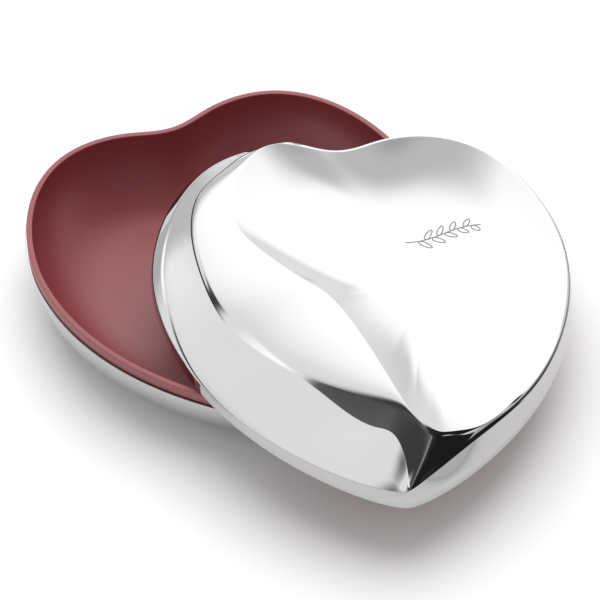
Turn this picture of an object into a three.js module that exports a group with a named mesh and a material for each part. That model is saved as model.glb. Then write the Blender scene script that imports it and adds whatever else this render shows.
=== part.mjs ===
// Heart-shaped trinket box: a polished steel bowl with a red plastic insert, and a sculpted
// steel lid that has been lifted off and laid askew on the insert's lip.
// Millimetres, +Z up. The base's heart points towards -Y, and the origin is on its foot.
import * as THREE from 'three';
import { mergeVertices } from 'three/addons/utils/BufferGeometryUtils.js';

// ---------- heart outline, shared by the base and the lid ----------
const HALF_WIDTH = 65;
const CLEFT_Y = 47.8;
const LOBE_X = 24.3;
const LOBE_Y = 52.6;
const TIP_Y = -87.8;
const CLEFT_HANDLE = 7.3;
const LOBE_HANDLE_IN = 11.7;
const LOBE_HANDLE_OUT = 29;
const SIDE_HANDLE_UP = 19.7;
const SIDE_HANDLE_DOWN = 54.9;
const TIP_HANDLE = 10.5;
const HEART_CENTRE = new THREE.Vector2(0, -10);

// ---------- base bowl and its insert ----------
const STEEL_RIM_Z = 24;
const STEEL_INSET = 0.6;
const STEEL_WALL = 1.2;
const STEEL_FLOOR = 1.4;
const FOOT_SCALE = 0.64;
const GAP = 0.3;
const LIP_TOP_Z = 27.6;
const LIP_INSET = 1.2;
const LIP_WIDTH = 1.85;
const LIP_ROUND = 0.3;
const BOWL_FLOOR_Z = 4.2;
const BOWL_FLOOR_SCALE = 0.6;

// ---------- lid ----------
const LID_WALL_TOP = 3.2;
const LID_WALL_INSET = 0.25;
const LID_SHEET = 0.9;
const LID_WALL_CLEAR = 0.4;
const DISH_CENTRE = new THREE.Vector3(18, -6, 6.2);
const PAN_FACE_Z = 2.6;
const PAN_FLOOR = 1;
const PAN_INSET = 5.5;
const PAN_ROUND = 0.4;

// Where the lid lies: it rests on the lip, turned and tipped a little.
const LID_POSITION = new THREE.Vector3(27.3, -39.5, 26.95);
const LID_TURN = THREE.MathUtils.degToRad(-16.4);
const LID_TILT = THREE.MathUtils.degToRad(3.8);
const LID_TILT_AXIS = THREE.MathUtils.degToRad(33.6);

const steel = new THREE.MeshStandardMaterial({ color: 0xd9dadc, roughness: 0.08, metalness: 1 });
const redPlastic = new THREE.MeshStandardMaterial({ color: 0x7c2229, roughness: 0.45, metalness: 0 });

// ---------- outline helpers ----------

// The outline is six Bezier pieces, clockwise from the cleft; u runs from 0 to 6 along them.
function heartPieces() {
  const cleft = new THREE.Vector2(0, CLEFT_Y);
  const lobe = new THREE.Vector2(LOBE_X, LOBE_Y);
  const side = new THREE.Vector2(HALF_WIDTH, 0);
  const tip = new THREE.Vector2(0, TIP_Y);
  const right = [
    [cleft, [CLEFT_HANDLE, CLEFT_Y], [LOBE_X - LOBE_HANDLE_IN, LOBE_Y], lobe],
    [lobe, [LOBE_X + LOBE_HANDLE_OUT, LOBE_Y], [HALF_WIDTH, SIDE_HANDLE_UP], side],
    [side, [HALF_WIDTH, -SIDE_HANDLE_DOWN], [TIP_HANDLE, TIP_Y], tip],
  ].map((piece) => piece.map((p) => (Array.isArray(p) ? new THREE.Vector2(...p) : p)));
  const left = right.map((piece) => piece.map((p) => new THREE.Vector2(-p.x, p.y)).reverse()).reverse();
  return [...right, ...left].map((piece) => new THREE.CubicBezierCurve(...piece));
}

const PIECES = heartPieces();

// A point of the outline moved inwards by inset, square to the edge.
function heartPoint(u, inset) {
  const wrapped = ((u % 6) + 6) % 6;
  const piece = PIECES[Math.floor(wrapped)];
  const t = wrapped - Math.floor(wrapped);
  const point = piece.getPoint(t);
  const tangent = piece.getTangent(t);
  return new THREE.Vector2(point.x + tangent.y * inset, point.y - tangent.x * inset);
}

// ---------- lofted solids ----------

// A closed skin through rings of equal length, with a point at each end.
function loftGeometry(first, rings, last) {
  const count = rings[0].length;
  const points = [first, ...rings.flat(), last];
  const index = [];
  const at = (ring, column) => 1 + ring * count + (column % count);
  for (let column = 0; column < count; column += 1) {
    index.push(0, at(0, column + 1), at(0, column));
    for (let ring = 0; ring + 1 < rings.length; ring += 1) {
      const a = at(ring, column);
      const b = at(ring, column + 1);
      const c = at(ring + 1, column + 1);
      const d = at(ring + 1, column);
      index.push(a, b, c, a, c, d);
    }
    index.push(points.length - 1, at(rings.length - 1, column), at(rings.length - 1, column + 1));
  }
  const geometry = new THREE.BufferGeometry().setFromPoints(points);
  geometry.setIndex(index);
  const welded = mergeVertices(geometry, 1e-4);
  welded.computeVertexNormals();
  return welded;
}

function namedMesh(name, geometry, material) {
  const mesh = new THREE.Mesh(geometry, material);
  mesh.name = name;
  return mesh;
}

// ---------- base ----------

const BASE_COLUMNS = 60;
const BOWL_STEPS = 5;

// The outline at one height, inset at the rim and then shrunk about the heart's middle.
function baseRing(inset, scale, z) {
  const ring = [];
  for (let column = 0; column < BASE_COLUMNS; column += 1) {
    const p = heartPoint((column * 6) / BASE_COLUMNS, inset);
    p.sub(HEART_CENTRE).multiplyScalar(scale).add(HEART_CENTRE);
    ring.push(new THREE.Vector3(p.x, p.y, z));
  }
  return ring;
}

// A bowl's rings from its rim down: a quarter ellipse, steep at the rim and flat at the floor.
function bowlRings(inset, rimZ, floorZ, floorScale) {
  const rings = [];
  for (let step = 0; step <= BOWL_STEPS; step += 1) {
    const angle = (step / BOWL_STEPS) * (Math.PI / 2);
    const scale = 1 - (1 - floorScale) * (1 - Math.cos(angle));
    rings.push(baseRing(inset, scale, rimZ - (rimZ - floorZ) * Math.sin(angle)));
  }
  return rings;
}

function middle(z) {
  return new THREE.Vector3(HEART_CENTRE.x, HEART_CENTRE.y, z);
}

function baseShell() {
  const outside = bowlRings(STEEL_INSET, STEEL_RIM_Z, 0, FOOT_SCALE);
  const inside = bowlRings(STEEL_INSET + STEEL_WALL, STEEL_RIM_Z, STEEL_FLOOR, FOOT_SCALE);
  const rings = [...inside.reverse(), ...outside];
  return namedMesh('base_shell', loftGeometry(middle(STEEL_FLOOR), rings, middle(0)), steel);
}

function baseLiner() {
  const lipInner = LIP_INSET + LIP_WIDTH;
  const shellInner = STEEL_INSET + STEEL_WALL + GAP;
  const inside = bowlRings(lipInner + LIP_ROUND, LIP_TOP_Z - LIP_ROUND, BOWL_FLOOR_Z, BOWL_FLOOR_SCALE);
  const lip = [
    baseRing(lipInner, 1, LIP_TOP_Z),
    baseRing(LIP_INSET + LIP_ROUND, 1, LIP_TOP_Z),
    baseRing(LIP_INSET, 1, LIP_TOP_Z - LIP_ROUND),
    baseRing(LIP_INSET, 1, STEEL_RIM_Z + GAP),
    baseRing(shellInner, 1, STEEL_RIM_Z + GAP),
  ];
  const outside = bowlRings(shellInner, STEEL_RIM_Z, STEEL_FLOOR + GAP, FOOT_SCALE);
  const rings = [...inside.reverse(), ...lip, ...outside];
  return namedMesh('base_liner', loftGeometry(middle(BOWL_FLOOR_Z), rings, middle(STEEL_FLOOR + GAP)), redPlastic);
}

// ---------- lid ----------

// Sections round the lid, clockwise from the cleft. Each has its place on the outline (u), the
// crease above the upright edge (inset, height), and the rim of the dish (inset, height).
// On the right and at the back the rim runs along the edge.
const RIGHT_SECTIONS = [
  { u: 0, crease: [1.0, 8.0], rim: [1.4, 9.2] },
  { u: 0.5, crease: [1.0, 8.2], rim: [1.6, 9.7] },
  { u: 1, crease: [1.2, 8.3], rim: [2.0, 9.7] },
  { u: 1.25, crease: [1.4, 8.2], rim: [2.3, 9.5] },
  { u: 1.5, crease: [1.5, 8.0], rim: [2.5, 9.3] },
  { u: 1.75, crease: [1.5, 8.0], rim: [2.6, 9.3] },
  { u: 2, crease: [1.5, 8.3], rim: [2.5, 9.6] },
  { u: 2.25, crease: [1.6, 8.8], rim: [2.4, 10.2] },
  { u: 2.45, crease: [2.2, 9.3], rim: [3.1, 10.7] },
];

// On the left the rim is an S-shaped ridge, and a step lies between it and the crease. The step
// has a foot and a top; the top is a share of the way from the foot to the ridge, at a height.
const LEFT_SECTIONS = [
  { u: 2.62, crease: [4.0, 9.3], foot: [22.5, -70.1, 9.8], top: [0.6, 10.4], ridge: [25.0, -67.8, 11.3] },
  { u: 2.78, crease: [3.6, 8.3], foot: [10.3, -78.8, 8.8], top: [0.85, 11.1], ridge: [17.0, -69.7, 11.7] },
  { u: 2.9, crease: [2.4, 7.2], foot: [3.6, -83.2, 7.7], top: [0.9, 11.6], ridge: [13.1, -70.1, 12.1] },
  { u: 3, crease: [1.6, 6.3], foot: [0.3, -84.9, 6.8], top: [0.9, 12.1], ridge: [10.4, -69.5, 12.5] },
  { u: 3.06, crease: [1.5, 6.0], foot: [0.6, -81.3, 6.9], top: [0.9, 12.4], ridge: [8.3, -68.1, 12.8] },
  { u: 3.12, crease: [1.3, 5.8], foot: [0.4, -73.9, 8.1], top: [0.88, 12.6], ridge: [5.9, -65.4, 13.0] },
  { u: 3.27, crease: [1.0, 5.2], foot: [-6.0, -63.8, 8.4], top: [0.66, 12.0], ridge: [2.0, -57.2, 13.1] },
  { u: 3.5, crease: [0.6, 4.4], foot: [-21.4, -48.2, 8.3], top: [0.12, 9.2], ridge: [-4.1, -36.6, 12.0] },
  { u: 3.75, crease: [0.4, 4.2], foot: [-39.8, -28.3, 7.8], top: [0.04, 8.2], ridge: [-12.7, -15.6, 11.4] },
  { u: 4, crease: [3.5, 6.0], foot: [-49.9, -2.8, 8.6], top: [0.04, 9.3], ridge: [-25.7, -1.4, 11.3] },
  { u: 4.25, crease: [3.6, 6.2], foot: [-51.2, 14.0, 8.8], top: [0.06, 9.6], ridge: [-36.0, 13.1, 11.0] },
  { u: 4.5, crease: [3.2, 6.3], foot: [-47.4, 31.0, 8.7], top: [0.08, 9.5], ridge: [-37.5, 27.8, 10.8] },
  { u: 4.75, crease: [2.2, 6.6], foot: [-37.8, 41.8, 8.6], top: [0.12, 9.2], ridge: [-31.8, 40.5, 11.0] },
  { u: 5, crease: [1.3, 7.2], foot: [-24.4, 50.2, 8.4], top: [0.4, 9.2], ridge: [-22.3, 48.9, 10.9] },
];
const CLOSING_SECTIONS = [
  { u: 5.25, crease: [1.0, 7.8], rim: [1.8, 10.6] },
  { u: 5.6, crease: [1.0, 8.0], rim: [1.7, 9.9] },
];

// Where the rim runs along the edge, the step is only a narrow rounding between crease and rim.
const EDGE_FOOT = { along: 0.35, up: 0.2 };
const EDGE_TOP_DROP = 0.1;
const RIM_WIDTH = 0.8;

// The leaf-shaped face between the step and the ridge swells upwards at this point.
const BROW = { along: 0.5, up: 0.71 };

// The dish is a shallow bowl, with a bank that climbs to the rim.
const DISH_RISE = 2.2;
const DISH_REACH = 50;
const BANK_REACH = 20;
const BANK_SWELL = 1;
const BANK_STEPS = [0.12, 0.3, 0.6, 1];
const COLUMNS_PER_SECTION = 3;

// A section with its rim along the edge, restated in the same terms as the stepped ones.
function withStep(section) {
  if (section.ridge) {
    return section;
  }
  const [creaseInset, creaseZ] = section.crease;
  const [rimInset, rimZ] = section.rim;
  const footInset = THREE.MathUtils.lerp(creaseInset, rimInset, EDGE_FOOT.along);
  const footZ = THREE.MathUtils.lerp(creaseZ, rimZ, EDGE_FOOT.up);
  const foot = heartPoint(section.u, footInset);
  const ridge = heartPoint(section.u, rimInset + RIM_WIDTH);
  return {
    u: section.u,
    crease: section.crease,
    foot: [foot.x, foot.y, footZ],
    top: [(rimInset - footInset) / (rimInset + RIM_WIDTH - footInset), rimZ - EDGE_TOP_DROP],
    ridge: [ridge.x, ridge.y, rimZ],
  };
}

const SECTIONS = [...RIGHT_SECTIONS, ...LEFT_SECTIONS, ...CLOSING_SECTIONS].map(withStep);

function closedCurve(pointOf) {
  return new THREE.CatmullRomCurve3(SECTIONS.map(pointOf), true, 'centripetal');
}

const CREASE_CURVE = closedCurve((s) => new THREE.Vector3(s.crease[0], s.crease[1], 0));
const FOOT_CURVE = closedCurve((s) => new THREE.Vector3(...s.foot));
const TOP_CURVE = closedCurve((s) => new THREE.Vector3(s.top[0], s.top[1], 0));
const RIDGE_CURVE = closedCurve((s) => new THREE.Vector3(...s.ridge));

// Outline position of a column, in step with the sections.
function columnU(share) {
  const place = share * SECTIONS.length;
  const here = Math.floor(place) % SECTIONS.length;
  const next = (here + 1) % SECTIONS.length;
  const nextU = next === 0 ? 6 : SECTIONS[next].u;
  return THREE.MathUtils.lerp(SECTIONS[here].u, nextU, place - Math.floor(place));
}

function between(a, b, along, up) {
  return new THREE.Vector3(
    THREE.MathUtils.lerp(a.x, b.x, along),
    THREE.MathUtils.lerp(a.y, b.y, along),
    THREE.MathUtils.lerp(a.z, b.z, up),
  );
}

function raised(point, z) {
  return new THREE.Vector3(point.x, point.y, z);
}

function dishHeight(point) {
  const reach = Math.hypot(point.x - DISH_CENTRE.x, point.y - DISH_CENTRE.y) / DISH_REACH;
  return DISH_CENTRE.z + DISH_RISE * reach ** 2;
}

// Points from just inside the ridge down the bank and across the dish.
function dishPoints(ridge) {
  const length = Math.hypot(ridge.x - DISH_CENTRE.x, ridge.y - DISH_CENTRE.y);
  const above = ridge.z - dishHeight(ridge);
  const bankEnd = BANK_REACH / length;
  const shares = [...BANK_STEPS.map((step) => step * bankEnd), (1 + bankEnd) / 2];
  return shares.map((share) => {
    const point = between(ridge, DISH_CENTRE, share, 0);
    const bank = Math.max(0, 1 - share / bankEnd);
    return raised(point, dishHeight(point) + above * bank ** 3 * (1 + BANK_SWELL * (1 - bank)));
  });
}

// One column of the lid's outside, from the dish outwards and down to the bottom edge.
function lidColumn(share) {
  const u = columnU(share);
  const crease = CREASE_CURVE.getPoint(share);
  const foot = FOOT_CURVE.getPoint(share);
  const topShare = TOP_CURVE.getPoint(share);
  const ridge = RIDGE_CURVE.getPoint(share);
  const top = raised(between(foot, ridge, topShare.x, 0), topShare.y);
  return [
    ...dishPoints(ridge).reverse(),
    ridge,
    between(top, ridge, BROW.along, BROW.up),
    top,
    foot,
    raised(heartPoint(u, crease.x), crease.y),
    raised(heartPoint(u, LID_WALL_INSET), Math.min(LID_WALL_TOP, crease.y - LID_WALL_CLEAR)),
    raised(heartPoint(u, 0), 0),
  ];
}

const LID_COLUMNS = SECTIONS.length * COLUMNS_PER_SECTION;

function lidOutside() {
  const columns = [];
  for (let column = 0; column < LID_COLUMNS; column += 1) {
    columns.push(lidColumn(column / LID_COLUMNS));
  }
  return columns[0].map((_, row) => columns.map((points) => points[row]));
}

// Direction out of the skin at each point of the rings, from the slopes along and across them.
function outward(rings, row, column) {
  const count = rings[0].length;
  const across = rings[row + 1][column].clone().sub(row === 0 ? DISH_CENTRE : rings[row - 1][column]);
  const along = rings[row][(column + 1) % count].clone().sub(rings[row][(column + count - 1) % count]);
  return across.cross(along).normalize().negate();
}

function lidInside(rings) {
  const inner = rings.slice(0, -1).map((ring, row) => ring.map((point, column) => {
    const move = outward(rings, row, column).multiplyScalar(-LID_SHEET);
    return point.clone().add(move);
  }));
  const bottom = rings[0].map((_, column) => raised(heartPoint(columnU(column / LID_COLUMNS), LID_SHEET), 0));
  return [...inner, bottom];
}

function lidShell(outside, inside) {
  const rings = [...outside, ...[...inside].reverse()];
  const under = DISH_CENTRE.clone().setZ(DISH_CENTRE.z - LID_SHEET);
  return namedMesh('lid_shell', loftGeometry(DISH_CENTRE, rings, under), steel);
}

// ---------- lid lining ----------

// Height of the shell's inner skin above a point of the bottom plane.
function headroom(shellMesh, point) {
  const ray = new THREE.Raycaster(raised(point, 0), new THREE.Vector3(0, 0, 1));
  return ray.intersectObject(shellMesh)[0].distance;
}

function shrunkHeart(column, inset, z) {
  const edge = heartPoint(columnU(((column + LID_COLUMNS) % LID_COLUMNS) / LID_COLUMNS), 0);
  edge.sub(HEART_CENTRE).multiplyScalar(1 - inset / HALF_WIDTH).add(HEART_CENTRE);
  return new THREE.Vector3(edge.x, edge.y, z);
}

// Height of the pan's rim at a column: just short of the shell there and at its neighbours.
function panRimZ(shellMesh, column) {
  const spots = [];
  for (const near of [column - 1, column - 0.5, column, column + 0.5, column + 1]) {
    spots.push(shrunkHeart(near, PAN_INSET, 0), shrunkHeart(near, PAN_INSET + PAN_FLOOR, 0));
  }
  return Math.min(...spots.map((spot) => headroom(shellMesh, spot))) - GAP;
}

// A shallow pan with its face down. Its upturned rim stops just short of the shell.
function lidLiner(shellMesh) {
  const probe = new THREE.Mesh(shellMesh.geometry, new THREE.MeshBasicMaterial({ side: THREE.DoubleSide }));
  const floorZ = PAN_FACE_Z + PAN_FLOOR;
  const columns = [];
  for (let column = 0; column < LID_COLUMNS; column += 1) {
    const rimZ = Math.max(panRimZ(probe, column), floorZ + PAN_ROUND);
    columns.push([
      shrunkHeart(column, PAN_INSET + PAN_FLOOR + PAN_ROUND, floorZ),
      shrunkHeart(column, PAN_INSET + PAN_FLOOR, rimZ),
      shrunkHeart(column, PAN_INSET, rimZ),
      shrunkHeart(column, PAN_INSET, PAN_FACE_Z + PAN_ROUND),
      shrunkHeart(column, PAN_INSET + PAN_ROUND, PAN_FACE_Z),
    ]);
  }
  const rings = columns[0].map((_, row) => columns.map((points) => points[row]));
  return namedMesh('lid_liner', loftGeometry(middle(floorZ), rings, middle(PAN_FACE_Z)), redPlastic);
}

// ---------- the whole box ----------

function placeLid(lid) {
  const axis = new THREE.Vector3(Math.cos(LID_TILT_AXIS), Math.sin(LID_TILT_AXIS), 0);
  lid.quaternion.setFromAxisAngle(axis, LID_TILT);
  lid.rotateZ(LID_TURN);
  lid.position.copy(LID_POSITION);
}

function buildBox() {
  const outside = lidOutside();
  const shell = lidShell(outside, lidInside(outside));
  const lid = new THREE.Group();
  lid.name = 'lid';
  lid.add(shell, lidLiner(shell));
  placeLid(lid);
  const box = new THREE.Group();
  box.name = 'heart_trinket_box';
  box.add(baseShell(), baseLiner(), lid);
  return box;
}

export default buildBox();
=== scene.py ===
"""Heart-shaped trinket box: polished steel bowl with a red insert, sculpted lid laid askew on it.

Design sizes are in millimetres and turned into metres when a mesh is made.
"""
import math

import bpy
import numpy as np
from mathutils import Matrix, Vector


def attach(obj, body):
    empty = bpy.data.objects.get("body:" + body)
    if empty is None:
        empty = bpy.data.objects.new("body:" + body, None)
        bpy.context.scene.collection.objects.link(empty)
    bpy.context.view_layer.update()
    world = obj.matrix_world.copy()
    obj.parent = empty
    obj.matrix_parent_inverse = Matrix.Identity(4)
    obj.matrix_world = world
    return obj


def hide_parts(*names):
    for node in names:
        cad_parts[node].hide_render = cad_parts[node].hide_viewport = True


MM = 0.001

# ---------- heart outline ----------
HALF_WIDTH = 65.0
CLEFT_Y = 47.8
LOBE = (24.3, 52.6)
TIP_Y = -87.8
CLEFT_HANDLE = 7.3
LOBE_HANDLE_IN = 11.7
LOBE_HANDLE_OUT = 29.0
SIDE_HANDLE_UP = 19.7
SIDE_HANDLE_DOWN = 54.9
TIP_HANDLE = 10.5
HEART_CENTRE = np.array([0.0, -10.0])

# Columns of every mesh round the heart, closer together near its tip.
COLUMNS = 448
TIP_DETAIL = 5.0
TIP_REACH = 12.0

# ---------- base bowl and insert ----------
STEEL_RIM_Z = 24.0
STEEL_INSET = 0.6
STEEL_WALL = 1.2
STEEL_FLOOR = 1.4
STEEL_EDGE_DEPTH = 0.35
STEEL_EDGE_ROUND = 0.3
FOOT_SCALE = 0.64
GAP = 0.3
LIP_TOP_Z = 27.6
LIP_INSET = 1.2
LIP_WIDTH = 1.85
LIP_EDGE_DEPTH = 0.5
LIP_INNER_ROUND = 0.4
LIP_OUTER_ROUND = 0.35
LIP_FOOT_ROUND = 0.1
BOWL_FLOOR_Z = 4.2
BOWL_FLOOR_SCALE = 0.6

# ---------- lid ----------
LID_SHEET = 0.9
LID_WALL_TOP = 3.2
LID_WALL_CLEAR = 0.4
LID_WALL_INSET = 0.25
LID_EDGE_WIDTH = 0.3
LID_WALL_ROUND = 1.2
STEP_FOOT_ROUND = 0.3
STEP_TOP_ROUND = 0.5
CREVICE_ROW = 35
CREVICE_STEPS = 6
INSIDE_FIRST_ROW = 14
INSIDE_ROW_STEP = 3

# Where the rim runs along the edge, the step is only a narrow rounding between crease and rim.
EDGE_FOOT_ALONG = 0.35
EDGE_FOOT_UP = 0.2
EDGE_TOP_DROP = 0.1
RIM_WIDTH = 0.8

# The leaf-shaped face between the step and the ridge.
LEAF_STEPS = 40
LEAF_SWELL = (0.4, 0.55)
RIDGE_LEAD = 0.3

# The dish: a shallow bowl with a bank that climbs to the rim or the ridge.
DISH_CENTRE = np.array([18.0, -6.0])
DISH_FLOOR_Z = 6.2
DISH_RISE = 2.2
DISH_REACH = 50.0
DISH_STEPS = 80
DISH_CROWDING = 1.3
BANK_SWELL = 1.0

# Values that change round the lid: places on the outline, then the values there.
BANK_REACH = ([2.9, 3.15, 3.4, 3.75], [25.0, 40.0, 38.0, 25.0])
RIM_ROUND = ([0.0, 2.2, 2.8, 4.6, 5.2, 6.0], [2.2, 1.6, 0.8, 0.8, 1.8, 2.2])
CREASE_ROUND = ([2.9, 3.0, 3.6, 3.9, 4.8, 5.0], [0.2, 0.05, 0.05, 1.0, 1.0, 0.4])
# Painted shade: how dark the steel is painted in the corner of the step, round the lid.
CORNER_PAINTED_SHADE = (
    [0.0, 1.5, 1.9, 2.45, 2.62, 2.7, 3.84, 3.92, 4.9, 5.1, 6.0],
    [0.0, 0.0, 0.7, 1.0, 0.9, 0.0, 0.0, 1.0, 1.0, 0.0, 0.0],
)
# Painted shade: how dark the steel is painted just under the rim, round the lid.
UNDER_RIM_PAINTED_SHADE = ([1.6, 2.0, 2.5, 2.66], [0.0, 0.9, 1.0, 0.0])

# ---------- engraved sprig ----------
SPRIG_CENTRE = np.array([27.0, 10.7])
SPRIG_TURN = math.radians(7)
SPRIG_LENGTH = 25.0
SPRIG_LEAVES = 9
STEM_SWAY = 1.3
LEAF_START = 0.3
LEAF_LENGTH = 4.6
LEAF_WIDTH = 1.9
LEAF_ANGLE = 42
LINE_WIDTH = 0.34
LINE_PROUD = 0.03
LINE_SUNK = 0.15

# ---------- lining pan, and where the lid lies ----------
PAN_FACE_Z = 2.6
PAN_FLOOR = 1.0
PAN_INSET = 5.5
PAN_EDGE = 6
PAN_TOP_ROUND = 0.3
PAN_FACE_ROUND = 0.5
LID_POSITION = np.array([27.3, -39.5, 26.95])
LID_TURN = math.radians(-16.4)
LID_TILT = math.radians(3.8)
LID_TILT_AXIS = math.radians(33.6)

# ---------- camera ----------
CAMERA_AZIMUTH = math.radians(-24.53)
CAMERA_ELEVATION = math.radians(47.55)
CAMERA_DISTANCE = 0.90103
CAMERA_TARGET = Vector((0.01678, -0.01701, 0.0))
CAMERA_LENS = 169.07

# ---------- lid sections ----------
# Sections run clockwise from the cleft. Where the rim follows the edge, a section is its place on
# the outline, the crease (inset, height) and the rim of the dish (inset, height).
RIGHT_SECTIONS = [
    (0.0, (1.0, 8.0), (1.4, 9.2)),
    (0.5, (1.0, 8.2), (1.6, 9.7)),
    (1.0, (1.2, 8.3), (2.0, 9.7)),
    (1.25, (1.4, 8.2), (2.3, 9.5)),
    (1.5, (1.5, 8.0), (2.5, 9.3)),
    (1.75, (1.5, 8.0), (2.6, 9.3)),
    (2.0, (1.5, 8.3), (2.5, 9.6)),
    (2.25, (1.6, 8.8), (2.4, 10.2)),
    (2.45, (2.2, 9.3), (3.1, 10.7)),
]

# Where the rim is an S-shaped ridge, a section is its place, the crease (inset, height), the foot
# of the step, the top of the step (share of the way to the ridge, height) and the ridge.
LEFT_SECTIONS = [
    (2.62, (4.0, 9.3), (22.5, -70.1, 9.8), (0.6, 10.4), (25.0, -67.8, 11.3)),
    (2.78, (3.6, 8.3), (10.3, -78.8, 8.8), (0.85, 11.1), (17.0, -69.7, 11.7)),
    (2.9, (2.4, 7.2), (3.6, -83.2, 7.7), (0.9, 11.6), (13.1, -70.1, 12.1)),
    (3.0, (1.6, 6.3), (0.3, -84.9, 6.8), (0.9, 12.1), (10.4, -69.5, 12.5)),
    (3.06, (1.5, 6.0), (0.6, -81.3, 6.9), (0.9, 12.4), (8.3, -68.1, 12.8)),
    (3.12, (1.3, 5.8), (0.4, -73.9, 8.1), (0.88, 12.6), (5.9, -65.4, 13.0)),
    (3.27, (1.0, 5.2), (-6.0, -63.8, 8.4), (0.66, 12.0), (2.0, -57.2, 13.1)),
    (3.5, (0.6, 4.4), (-21.4, -48.2, 8.3), (0.12, 9.2), (-4.1, -36.6, 12.0)),
    (3.75, (0.4, 4.2), (-39.8, -28.3, 8.0), (0.1, 8.4), (-12.7, -15.6, 11.4)),
    (4.0, (3.5, 6.0), (-49.9, -2.8, 8.6), (0.04, 9.3), (-25.7, -1.4, 11.3)),
    (4.25, (3.6, 6.2), (-51.2, 14.0, 8.8), (0.06, 9.6), (-36.0, 13.1, 11.0)),
    (4.5, (3.2, 6.3), (-47.4, 31.0, 8.7), (0.08, 9.5), (-37.5, 27.8, 10.8)),
    (4.75, (2.2, 6.6), (-37.8, 41.8, 8.6), (0.12, 9.2), (-31.8, 40.5, 11.0)),
    (5.0, (1.3, 7.2), (-24.4, 50.2, 8.4), (0.4, 9.2), (-22.3, 48.9, 10.9)),
]
CLOSING_SECTIONS = [(5.25, (1.0, 7.8), (1.8, 10.6)), (5.6, (1.0, 8.0), (1.7, 9.9))]


# ---------- outline ----------

def heart_pieces():
    """Six cubic Bezier pieces, clockwise from the cleft."""
    right = [
        [(0, CLEFT_Y), (CLEFT_HANDLE, CLEFT_Y), (LOBE[0] - LOBE_HANDLE_IN, LOBE[1]), LOBE],
        [LOBE, (LOBE[0] + LOBE_HANDLE_OUT, LOBE[1]), (HALF_WIDTH, SIDE_HANDLE_UP), (HALF_WIDTH, 0)],
        [(HALF_WIDTH, 0), (HALF_WIDTH, -SIDE_HANDLE_DOWN), (TIP_HANDLE, TIP_Y), (0, TIP_Y)],
    ]
    left = [[(-x, y) for x, y in reversed(piece)] for piece in reversed(right)]
    return np.array(right + left, float)


PIECES = heart_pieces()


def heart_points(u, inset):
    """Outline points at places u (0 to 6), moved inwards by inset square to the edge."""
    u = np.mod(np.asarray(u, float), 6.0)
    piece = np.minimum(u.astype(int), 5)
    t = (u - piece)[:, None]
    p = PIECES[piece]
    s = 1 - t
    point = s**3 * p[:, 0] + 3 * s * s * t * p[:, 1] + 3 * s * t * t * p[:, 2] + t**3 * p[:, 3]
    along = (
        s * s * (p[:, 1] - p[:, 0]) + 2 * s * t * (p[:, 2] - p[:, 1]) + t * t * (p[:, 3] - p[:, 2])
    )
    along /= np.linalg.norm(along, axis=1)[:, None]
    inward = np.stack([along[:, 1], -along[:, 0]], 1)
    return point + inward * np.broadcast_to(inset, u.shape)[:, None]


def outline_lengths():
    """Finely spaced places on the outline with the length travelled to each."""
    u = np.linspace(0, 6, 6001)
    points = heart_points(u, 0)
    steps = np.linalg.norm(np.diff(points, axis=0), axis=1)
    return u, np.concatenate([[0], np.cumsum(steps)])


FINE_U, FINE_LENGTH = outline_lengths()
OUTLINE_LENGTH = FINE_LENGTH[-1]


def column_lengths():
    """Places of the mesh columns along the outline, closer together round the tip."""
    tip = OUTLINE_LENGTH / 2
    density = 1 + TIP_DETAIL * np.exp(-(((FINE_LENGTH - tip) / TIP_REACH) ** 2))
    count = np.concatenate([[0], np.cumsum((density[1:] + density[:-1]) * np.diff(FINE_LENGTH))])
    return np.interp(np.arange(COLUMNS) * count[-1] / COLUMNS, count, FINE_LENGTH)


COLUMN_LENGTH = column_lengths()
COLUMN_U = np.interp(COLUMN_LENGTH, FINE_LENGTH, FINE_U)


# ---------- smooth curves ----------

def closed_spline(knots, values, period, at):
    """Smooth closed curve through values at knots, read at the places in at."""
    knots = np.asarray(knots, float)
    values = np.asarray(values, float)
    count = len(knots)
    gap = np.diff(np.append(knots, knots[0] + period))
    rise = (np.roll(values, -1, 0) - values) / gap[:, None]
    matrix = np.zeros((count, count))
    for k in range(count):
        matrix[k, (k - 1) % count] += gap[k - 1]
        matrix[k, k] += 2 * (gap[k - 1] + gap[k])
        matrix[k, (k + 1) % count] += gap[k]
    bend = np.linalg.solve(matrix, 6 * (rise - np.roll(rise, 1, 0)))
    place = np.mod(np.asarray(at, float) - knots[0], period)
    edges = np.append(knots - knots[0], period)
    k = np.clip(np.searchsorted(edges, place, side="right") - 1, 0, count - 1)
    n = (k + 1) % count
    h = gap[k][:, None]
    b = (place - edges[k])[:, None] / h
    a = 1 - b
    return (
        a * values[k] + b * values[n]
        + ((a**3 - a) * bend[k] + (b**3 - b) * bend[n]) * h * h / 6
    )


def rounded_profile(corners, radii, samples):
    """Rows along a run of corners, each corner swept by a parabola of the given reach.

    corners is a list of (columns, 3) arrays. A radius of None reaches halfway to each neighbour.
    """
    rows = [corners[0]]
    for k in range(1, len(corners) - 1):
        before, here, after = corners[k - 1], corners[k], corners[k + 1]
        reach_in = half_or_less(before, here, radii[k])
        reach_out = half_or_less(after, here, radii[k])
        start = here + (before - here) * reach_in
        end = here + (after - here) * reach_out
        for step in range(samples[k] + 1):
            t = step / samples[k]
            rows.append((1 - t) ** 2 * start + 2 * (1 - t) * t * here + t * t * end)
    rows.append(corners[-1])
    return rows


def half_or_less(other, here, radius):
    """The radius as a share of the way to the other corner, at most half of it."""
    length = np.linalg.norm(other - here, axis=1)[:, None]
    if radius is None:
        return np.full_like(length, 0.5)
    return np.minimum(0.5, np.reshape(radius, (-1, 1)) / np.maximum(length, 1e-6))


def with_height(points, z):
    return np.column_stack([points, np.broadcast_to(z, len(points))])


# ---------- mesh making ----------

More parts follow.
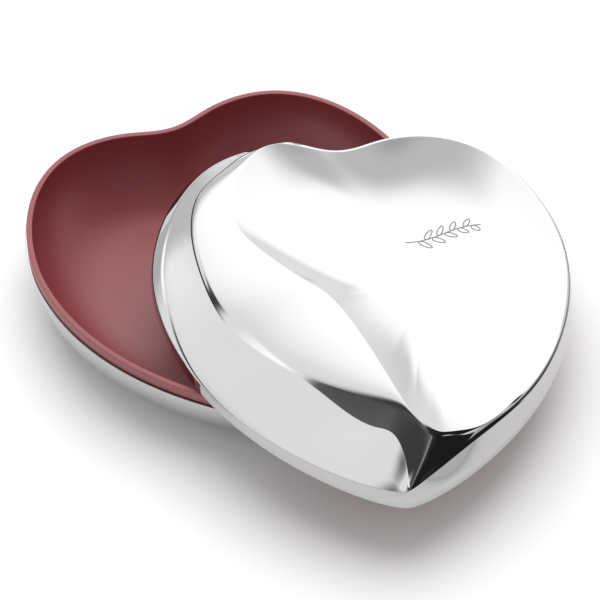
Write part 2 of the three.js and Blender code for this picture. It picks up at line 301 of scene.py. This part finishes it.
def mesh_object(name, vertices, faces, smooth):
    mesh = bpy.data.meshes.new(name)
    mesh.from_pydata((vertices * MM).tolist(), [], faces)
    mesh.polygons.foreach_set("use_smooth", [smooth] * len(mesh.polygons))
    mesh.update()
    obj = bpy.data.objects.new(name, mesh)
    bpy.context.scene.collection.objects.link(obj)
    return obj


def loft_object(name, first, rings, last, place=None):
    """Closed skin through rings, with a point at each end, as a smooth-shaded object."""
    vertices = np.vstack([[first], *rings, [last]])
    if place is not None:
        vertices = place(vertices)
    count = len(rings[0])
    faces = []
    for column in range(count):
        following = (column + 1) % count
        faces.append((0, 1 + following, 1 + column))
        for ring in range(len(rings) - 1):
            top = 1 + ring * count
            low = top + count
            faces.append((top + column, top + following, low + following, low + column))
        low = 1 + (len(rings) - 1) * count
        faces.append((len(vertices) - 1, low + column, low + following))
    return mesh_object(name, vertices, faces, smooth=True)


# ---------- base ----------

def base_ring(inset, scale, z):
    points = (heart_points(COLUMN_U, inset) - HEART_CENTRE) * scale + HEART_CENTRE
    return with_height(points, z)


def bowl_rings(inset, rim_z, floor_z, floor_scale, steps):
    """A bowl from its rim down: a quarter ellipse, steep at the rim and flat at the floor."""
    rings = []
    for step in range(steps + 1):
        angle = step / steps * math.pi / 2
        scale = 1 - (1 - floor_scale) * (1 - math.cos(angle))
        rings.append(base_ring(inset, scale, rim_z - (rim_z - floor_z) * math.sin(angle)))
    return rings


def middle(z):
    return [HEART_CENTRE[0], HEART_CENTRE[1], z]


def build_base_shell():
    edge_z = STEEL_RIM_Z - STEEL_EDGE_DEPTH
    outside = bowl_rings(STEEL_INSET, edge_z, 0, FOOT_SCALE, 40)
    inside = bowl_rings(STEEL_INSET + STEEL_WALL, edge_z, STEEL_FLOOR, FOOT_SCALE, 12)
    rim = rounded_profile(
        [
            inside[0],
            base_ring(STEEL_INSET + STEEL_WALL, 1, STEEL_RIM_Z),
            base_ring(STEEL_INSET, 1, STEEL_RIM_Z),
            outside[0],
        ],
        [0, STEEL_EDGE_ROUND, STEEL_EDGE_ROUND, 0],
        [0, 4, 4, 0],
    )
    rings = inside[:0:-1] + rim + outside[1:]
    return loft_object("vis_base_shell", middle(STEEL_FLOOR), rings, middle(0))


def build_base_liner():
    inner = LIP_INSET + LIP_WIDTH
    shell_inner = STEEL_INSET + STEEL_WALL + GAP
    bowl = bowl_rings(inner, LIP_TOP_Z - LIP_EDGE_DEPTH, BOWL_FLOOR_Z, BOWL_FLOOR_SCALE, 48)
    outside = bowl_rings(shell_inner, STEEL_RIM_Z, STEEL_FLOOR + GAP, FOOT_SCALE, 12)
    lip = rounded_profile(
        [
            bowl[0],
            base_ring(inner, 1, LIP_TOP_Z),
            base_ring(LIP_INSET, 1, LIP_TOP_Z),
            base_ring(LIP_INSET, 1, STEEL_RIM_Z + GAP),
            outside[0],
        ],
        [0, LIP_INNER_ROUND, LIP_OUTER_ROUND, LIP_FOOT_ROUND, 0],
        [0, 5, 5, 2, 0],
    )
    rings = bowl[:0:-1] + lip + outside[1:]
    return loft_object(
        "vis_base_liner", middle(BOWL_FLOOR_Z), rings, middle(STEEL_FLOOR + GAP)
    )


# ---------- lid ----------

def lid_to_row(points):
    """From the lid's own frame to the row frame, where it lies on the lip."""
    axis = Vector((math.cos(LID_TILT_AXIS), math.sin(LID_TILT_AXIS), 0))
    turn = Matrix.Rotation(LID_TILT, 3, axis) @ Matrix.Rotation(LID_TURN, 3, "Z")
    return points @ np.array(turn).T + LID_POSITION


def lid_sections():
    """All sections in the terms of the ridged ones: place, crease, foot, top of step, ridge."""
    sections = []
    for section in [*RIGHT_SECTIONS, *LEFT_SECTIONS, *CLOSING_SECTIONS]:
        if len(section) == 5:
            sections.append(section)
            continue
        u, crease, rim = section
        rise = rim[1] - crease[1]
        foot_inset = crease[0] + EDGE_FOOT_ALONG * (rim[0] - crease[0])
        foot_z = crease[1] + EDGE_FOOT_UP * rise
        foot = heart_points([u], foot_inset)[0]
        ridge = heart_points([u], rim[0] + RIM_WIDTH)[0]
        share = (rim[0] - foot_inset) / (rim[0] + RIM_WIDTH - foot_inset)
        top = (share, rim[1] - EDGE_TOP_DROP)
        sections.append((u, crease, (*foot, foot_z), top, (*ridge, rim[1])))
    return sections


def section_curve(sections, part):
    """One part of every section, joined into a smooth closed curve and read at each column."""
    knots = np.interp([s[0] for s in sections], FINE_U, FINE_LENGTH)
    return closed_spline(knots, [s[part] for s in sections], OUTLINE_LENGTH, COLUMN_LENGTH)


def mix(a, b, along, up):
    """Between two columns of points: along sets the plan position and up the height."""
    along = np.reshape(along, (-1, 1))
    plan = a[:, :2] + (b[:, :2] - a[:, :2]) * along
    return np.column_stack([plan, a[:, 2] + (b[:, 2] - a[:, 2]) * np.reshape(up, (-1,))])


def dish_height(points):
    reach = np.linalg.norm(points - DISH_CENTRE, axis=1) / DISH_REACH
    return DISH_FLOOR_Z + DISH_RISE * reach**2


def dish_rows(ridge, rounding):
    """Rows from just inside the ridge to just short of the dish's middle."""
    toward = DISH_CENTRE - ridge[:, :2]
    length = np.linalg.norm(toward, axis=1)
    above = ridge[:, 2] - dish_height(ridge[:, :2])
    bank_reach = np.interp(COLUMN_U, *BANK_REACH)
    start = rounding / length
    rows = []
    for step in range(1, DISH_STEPS):
        share = start + (1 - start) * ((step - 1) / DISH_STEPS) ** DISH_CROWDING
        plan = ridge[:, :2] + toward * share[:, None]
        bank = np.maximum(0, 1 - length * share / bank_reach)
        height = above * bank**3 * (1 + BANK_SWELL * (1 - bank))
        rows.append(with_height(plan, dish_height(plan) + height))
    return rows


def leaf_rows(top, ridge):
    """Rows of one fair curve from the top of the step to the ridge, where it runs level."""
    outward = ridge[:, :2] - DISH_CENTRE
    outward /= np.linalg.norm(outward, axis=1)[:, None]
    lead = RIDGE_LEAD * np.linalg.norm(ridge[:, :2] - top[:, :2], axis=1)
    near_ridge = with_height(ridge[:, :2] + outward * lead[:, None], ridge[:, 2])
    near_top = mix(top, near_ridge, *LEAF_SWELL)
    rows = []
    for step in range(1, LEAF_STEPS):
        t = step / LEAF_STEPS
        s = 1 - t
        rows.append(
            s**3 * top + 3 * s * s * t * near_top + 3 * s * t * t * near_ridge + t**3 * ridge
        )
    return rows


def lid_outside():
    """Rows of the lid's skin from the bottom edge up over the ridge to the dish's middle."""
    sections = lid_sections()
    crease = section_curve(sections, 1)
    foot = section_curve(sections, 2)
    top_share = section_curve(sections, 3)
    ridge = section_curve(sections, 4)
    top = with_height(mix(foot, ridge, top_share[:, 0], 0)[:, :2], top_share[:, 1])
    crease_edge = with_height(heart_points(COLUMN_U, crease[:, 0]), crease[:, 1])
    wall_top = np.minimum(LID_WALL_TOP, crease[:, 1] - LID_WALL_CLEAR)
    leaf = leaf_rows(top, ridge)
    rounding = np.interp(COLUMN_U, *RIM_ROUND)
    dish = dish_rows(ridge, rounding)
    crease_round = np.interp(COLUMN_U, *CREASE_ROUND)
    lower = rounded_profile(
        [
            with_height(heart_points(COLUMN_U, LID_EDGE_WIDTH), 0),
            with_height(heart_points(COLUMN_U, 0), 0),
            with_height(heart_points(COLUMN_U, LID_WALL_INSET), wall_top),
            crease_edge,
            mix(crease_edge, foot, 0.5, 0.5),
            foot,
            top,
            leaf[1],
        ],
        [
            0,
            LID_EDGE_WIDTH,
            LID_WALL_ROUND,
            crease_round,
            None,
            STEP_FOOT_ROUND,
            STEP_TOP_ROUND,
            0,
        ],
        [0, 3, 6, 5, 16, CREVICE_STEPS, 6, 0],
    )
    rim = rounded_profile([leaf[-1], ridge, dish[0]], [0, rounding, 0], [0, 10, 0])
    return lower + leaf[2:-1] + rim + dish[1:]


def skin_normals(rows):
    grid = np.array(rows)
    across = np.gradient(grid, axis=0)
    along = np.roll(grid, -1, 1) - np.roll(grid, 1, 1)
    normal = np.cross(across, along)
    length = np.linalg.norm(normal, axis=2, keepdims=True)
    return normal / np.maximum(length, 1e-9)


def crevice_painted_shade(outside_rows):
    """Painted shade: how dark the polished surface is painted in the step's corner and under the
    rim, row by row.
    """
    values = np.zeros((outside_rows, COLUMNS))
    corner_end = CREVICE_ROW + CREVICE_STEPS
    values[CREVICE_ROW + 1:corner_end] = np.interp(COLUMN_U, *CORNER_PAINTED_SHADE)
    values[corner_end:corner_end + 2] = np.interp(COLUMN_U, *UNDER_RIM_PAINTED_SHADE)
    return values


def build_lid_shell(outside):
    """The skin and its inside, a sheet's thickness below it, joined round the bottom edge."""
    normals = skin_normals(outside)
    inside_rows = range(INSIDE_FIRST_ROW, len(outside), INSIDE_ROW_STEP)
    inside = [outside[row] - normals[row] * LID_SHEET for row in inside_rows]
    bottom = [with_height(heart_points(COLUMN_U, LID_SHEET), 0)]
    centre = [*DISH_CENTRE, DISH_FLOOR_Z]
    under = [*DISH_CENTRE, DISH_FLOOR_Z - LID_SHEET]
    rings = outside[::-1] + bottom + inside
    obj = loft_object("vis_lid_shell", centre, rings, under, lid_to_row)
    # Painted shade for the step's corner and under the rim, stored on the points for the steel
    # material.
    painted_shade = crevice_painted_shade(len(outside))[::-1].ravel()
    values = np.zeros(len(obj.data.vertices))
    values[1:1 + len(painted_shade)] = painted_shade
    obj.data.attributes.new("painted_crevice_shade", "FLOAT", "POINT").data.foreach_set("value", values)
    return obj


def build_lid_liner():
    """The flat part of the lining pan. Its upturned rim is hidden in the lid and is left out."""
    def ring(inset, z):
        points = heart_points(COLUMN_U, 0) - HEART_CENTRE
        return with_height(points * (1 - inset / HALF_WIDTH) + HEART_CENTRE, z)

    floor_z = PAN_FACE_Z + PAN_FLOOR
    rings = rounded_profile(
        [
            ring(PAN_INSET + PAN_EDGE, floor_z),
            ring(PAN_INSET, floor_z),
            ring(PAN_INSET, PAN_FACE_Z),
            ring(PAN_INSET + PAN_EDGE, PAN_FACE_Z),
        ],
        [0, PAN_TOP_ROUND, PAN_FACE_ROUND, 0],
        [0, 3, 5, 0],
    )
    return loft_object("vis_lid_liner", middle(floor_z), rings, middle(PAN_FACE_Z), lid_to_row)


# ---------- engraving ----------

def sprig_lines():
    """A leafy sprig drawn with lines, about its own middle, in millimetres."""
    def stem(x):
        return STEM_SWAY * math.sin(x / SPRIG_LENGTH * math.tau * 0.75)

    half = SPRIG_LENGTH / 2
    lines = [[(x, stem(x)) for x in np.linspace(-half, half, 49)]]
    for number in range(SPRIG_LEAVES):
        x = -half + 4.0 + number * (SPRIG_LENGTH - 5.0) / SPRIG_LEAVES
        side = 1 if number % 2 else -1
        turn = math.radians(side * LEAF_ANGLE) + math.atan(stem(x + 0.5) - stem(x - 0.5))
        length = LEAF_LENGTH * (1 - 0.04 * number)
        outline = []
        for step in range(33):
            along = (1 - math.cos(step / 32 * math.tau)) / 2
            across = math.sin(step / 32 * math.tau) * LEAF_WIDTH * (1 - 0.35 * along) / 2
            reach = LEAF_START + length * along
            outline.append(
                (
                    x + reach * math.cos(turn) - across * math.sin(turn),
                    stem(x) + reach * math.sin(turn) + across * math.cos(turn),
                )
            )
        lines.append(outline)
    return lines


def build_engraving():
    """The sprig, with each line a shallow closed bar set into the dish."""
    vertices = []
    faces = []
    cosine, sine = math.cos(SPRIG_TURN), math.sin(SPRIG_TURN)
    tilt = np.array([[cosine, sine], [-sine, cosine]])
    for line in sprig_lines():
        line = np.array(line) @ tilt + SPRIG_CENTRE
        along = np.gradient(line, axis=0)
        along /= np.linalg.norm(along, axis=1)[:, None]
        side = np.stack([-along[:, 1], along[:, 0]], 1) * LINE_WIDTH / 2
        height = dish_height(line)
        first = len(vertices)
        for point, across, z in zip(line, side, height):
            vertices.append([*(point + across), z + LINE_PROUD])
            vertices.append([*(point - across), z + LINE_PROUD])
            vertices.append([*(point - across), z - LINE_SUNK])
            vertices.append([*(point + across), z - LINE_SUNK])
        for step in range(len(line) - 1):
            a = first + 4 * step
            for edge in range(4):
                b = a + (edge + 1) % 4
                faces.append((a + edge, b, b + 4, a + edge + 4))
        last = first + 4 * (len(line) - 1)
        faces.append((first + 3, first + 2, first + 1, first))
        faces.append((last, last + 1, last + 2, last + 3))
    return mesh_object("vis_lid_sprig", lid_to_row(np.array(vertices)), faces, smooth=False)


# ---------- materials ----------

def new_material(name):
    material = bpy.data.materials.new(name)
    material.use_nodes = True
    return material, material.node_tree.nodes, material.node_tree.links


def polished_steel():
    """Mirror steel with a faint polishing haze, made rougher and painted nearly black as shade in
    the corner of the lid's step and under its rim.
    """
    material, nodes, links = new_material("polished_steel")
    shader = nodes["Principled BSDF"]
    shader.inputs["Metallic"].default_value = 1.0
    place = nodes.new("ShaderNodeTexCoord")
    haze = nodes.new("ShaderNodeTexNoise")
    haze.inputs["Scale"].default_value = 45
    haze.inputs["Detail"].default_value = 6
    links.new(place.outputs["Object"], haze.inputs["Vector"])
    spread = nodes.new("ShaderNodeMapRange")
    spread.inputs["To Min"].default_value = 0.03
    spread.inputs["To Max"].default_value = 0.07
    links.new(haze.outputs["Fac"], spread.inputs["Value"])
    # Painted shade: the shade attribute makes the steel rougher and mixes its colour towards near
    # black.
    painted_crevice_shade = nodes.new("ShaderNodeAttribute")
    painted_crevice_shade.attribute_name = "painted_crevice_shade"
    dull = nodes.new("ShaderNodeMix")
    dull.data_type = "FLOAT"
    dull.inputs["B"].default_value = 0.4
    links.new(painted_crevice_shade.outputs["Fac"], dull.inputs["Factor"])
    links.new(spread.outputs["Result"], dull.inputs["A"])
    links.new(dull.outputs["Result"], shader.inputs["Roughness"])
    tone = nodes.new("ShaderNodeMix")
    tone.data_type = "RGBA"
    tone.inputs["A"].default_value = (0.5, 0.502, 0.507, 1)
    tone.inputs["B"].default_value = (0.03, 0.03, 0.032, 1)
    links.new(painted_crevice_shade.outputs["Fac"], tone.inputs["Factor"])
    links.new(tone.outputs["Result"], shader.inputs["Base Color"])
    return material


def engraved_steel():
    """The matt bottom of an engraved line."""
    material, nodes, links = new_material("engraved_steel")
    shader = nodes["Principled BSDF"]
    shader.inputs["Metallic"].default_value = 1.0
    shader.inputs["Roughness"].default_value = 0.5
    place = nodes.new("ShaderNodeTexCoord")
    cut = nodes.new("ShaderNodeTexNoise")
    cut.inputs["Scale"].default_value = 3000
    links.new(place.outputs["Object"], cut.inputs["Vector"])
    tone = nodes.new("ShaderNodeMapRange")
    tone.inputs["To Min"].default_value = 0.14
    tone.inputs["To Max"].default_value = 0.3
    links.new(cut.outputs["Fac"], tone.inputs["Value"])
    links.new(tone.outputs["Result"], shader.inputs["Base Color"])
    return material


def red_plastic():
    """Satin red plastic with a very fine grain."""
    material, nodes, links = new_material("red_insert")
    shader = nodes["Principled BSDF"]
    shader.inputs["Base Color"].default_value = (0.225, 0.03, 0.038, 1)
    shader.inputs["Roughness"].default_value = 0.46
    shader.inputs["IOR"].default_value = 1.85
    place = nodes.new("ShaderNodeTexCoord")
    grain = nodes.new("ShaderNodeTexNoise")
    grain.inputs["Scale"].default_value = 2600
    grain.inputs["Detail"].default_value = 3
    links.new(place.outputs["Object"], grain.inputs["Vector"])
    bump = nodes.new("ShaderNodeBump")
    bump.inputs["Strength"].default_value = 0.12
    bump.inputs["Distance"].default_value = 0.0001
    links.new(grain.outputs["Fac"], bump.inputs["Height"])
    links.new(bump.outputs["Normal"], shader.inputs["Normal"])
    return material


def floor_paint():
    material, nodes, links = new_material("floor_paint")
    shader = nodes["Principled BSDF"]
    shader.inputs["Base Color"].default_value = (0.92, 0.92, 0.92, 1)
    shader.inputs["Roughness"].default_value = 0.9
    return material


# ---------- stage ----------

def plain_plane(name, corners, material):
    mesh = bpy.data.meshes.new(name)
    mesh.from_pydata(corners, [], [(0, 1, 2, 3)])
    mesh.materials.append(material)
    obj = bpy.data.objects.new(name, mesh)
    bpy.context.scene.collection.objects.link(obj)
    return obj


def build_floor():
    reach = 3.0
    corners = [(-reach, -reach, 0), (reach, -reach, 0), (reach, reach, 0), (-reach, reach, 0)]
    plain_plane("floor", corners, floor_paint())


def direction(azimuth, elevation):
    """Unit vector from the object. Azimuth 0 is straight away from the camera, 90 to its right."""
    turn = CAMERA_AZIMUTH + math.radians(180 - azimuth)
    level = math.cos(math.radians(elevation))
    return Vector(
        (math.sin(turn) * level, -math.cos(turn) * level, math.sin(math.radians(elevation)))
    )


def build_key_light():
    data = bpy.data.lights.new("key", "AREA")
    data.shape = "DISK"
    data.size = 1.8
    data.energy = 22
    lamp = bpy.data.objects.new("key", data)
    toward = direction(0, 72)
    lamp.location = toward * 1.6
    lamp.rotation_euler = toward.to_track_quat("Z", "Y").to_euler()
    lamp.visible_glossy = False
    bpy.context.scene.collection.objects.link(lamp)


# What the steel mirrors: a light tent with these patches, each painted over the ones before it.
# (azimuth, elevation, full within this angle, faded out beyond this angle, brightness)
TENT_LIGHT = 0.62
STUDIO_WALL = 1.4
STUDIO_PATCHES = [
    (-14, 50, 6, 18, 1.6),
    (8, 42, 4, 30, 2.1),
    (20, 63, 3, 10, 0.95),
    (180, 30, 20, 45, 0.3),
    (60, 15, 10, 35, 0.9),
    (-40, 2, 14, 30, 0.8),
    (-30, 28, 8, 20, 0.95),
    (-48, 27, 6, 14, 1.9),
    (105, -2, 16, 28, 0.8),
    (-110, 55, 24, 37, 0.2),
    (-72, 56, 6, 18, 0.08),
    (112, 57, 31, 43, 0.02),
    (90, 84, 6, 18, 0.04),
]


def build_world():
    """Even white light on the scene, and a patterned studio in its reflections."""
    world = bpy.data.worlds.new("studio")
    world.use_nodes = True
    nodes, links = world.node_tree.nodes, world.node_tree.links
    place = nodes.new("ShaderNodeTexCoord")
    latest = None
    for azimuth, elevation, full, faded, brightness in STUDIO_PATCHES:
        facing = nodes.new("ShaderNodeVectorMath")
        facing.operation = "DOT_PRODUCT"
        links.new(place.outputs["Generated"], facing.inputs[0])
        facing.inputs[1].default_value = direction(azimuth, elevation)
        fade = nodes.new("ShaderNodeMapRange")
        fade.interpolation_type = "SMOOTHSTEP"
        fade.inputs["From Min"].default_value = math.cos(math.radians(faded))
        fade.inputs["From Max"].default_value = math.cos(math.radians(full))
        links.new(facing.outputs["Value"], fade.inputs["Value"])
        blend = nodes.new("ShaderNodeMix")
        blend.data_type = "FLOAT"
        links.new(fade.outputs["Result"], blend.inputs["Factor"])
        if latest:
            links.new(latest, blend.inputs["A"])
        else:
            blend.inputs["A"].default_value = STUDIO_WALL
        blend.inputs["B"].default_value = brightness
        latest = blend.outputs["Result"]
    rays = nodes.new("ShaderNodeLightPath")
    choice = nodes.new("ShaderNodeMix")
    choice.data_type = "FLOAT"
    choice.inputs["A"].default_value = TENT_LIGHT
    links.new(rays.outputs["Is Glossy Ray"], choice.inputs["Factor"])
    links.new(latest, choice.inputs["B"])
    links.new(choice.outputs["Result"], nodes["Background"].inputs["Strength"])
    nodes["Background"].inputs["Color"].default_value = (1, 1, 1, 1)
    bpy.context.scene.world = world
    bpy.context.scene.view_settings.view_transform = "Standard"


# ---------- view ----------

def build_camera():
    data = bpy.data.cameras.new("camera")
    data.sensor_width = 36
    data.lens = CAMERA_LENS
    back = Vector(
        (
            math.sin(CAMERA_AZIMUTH) * math.cos(CAMERA_ELEVATION),
            -math.cos(CAMERA_AZIMUTH) * math.cos(CAMERA_ELEVATION),
            math.sin(CAMERA_ELEVATION),
        )
    )
    camera = bpy.data.objects.new("camera", data)
    camera.location = CAMERA_TARGET + back * CAMERA_DISTANCE
    camera.rotation_euler = back.to_track_quat("Z", "Y").to_euler()
    bpy.context.scene.collection.objects.link(camera)
    bpy.context.scene.camera = camera


# ---------- assembly ----------

def dress(obj, material, node, body):
    """Give a piece its material, and put it in the place of a CAD node."""
    obj.data.materials.append(material)
    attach(obj, body)
    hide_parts(node)


def main():
    steel = polished_steel()
    red = red_plastic()
    dress(build_base_shell(), steel, "base_shell", "base")
    dress(build_base_liner(), red, "base_liner", "base")
    dress(build_lid_shell(lid_outside()), steel, "lid_shell", "lid")
    dress(build_lid_liner(), red, "lid_liner", "lid")
    sprig = build_engraving()
    sprig.data.materials.append(engraved_steel())
    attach(sprig, "lid")
    build_floor()
    build_key_light()
    build_world()
    build_camera()


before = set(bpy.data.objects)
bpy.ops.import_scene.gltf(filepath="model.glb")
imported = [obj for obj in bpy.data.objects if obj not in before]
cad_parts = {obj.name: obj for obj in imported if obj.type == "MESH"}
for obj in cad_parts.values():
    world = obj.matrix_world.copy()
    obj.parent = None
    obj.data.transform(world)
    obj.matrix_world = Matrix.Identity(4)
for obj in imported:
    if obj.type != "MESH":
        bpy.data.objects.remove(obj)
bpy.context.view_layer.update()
main()
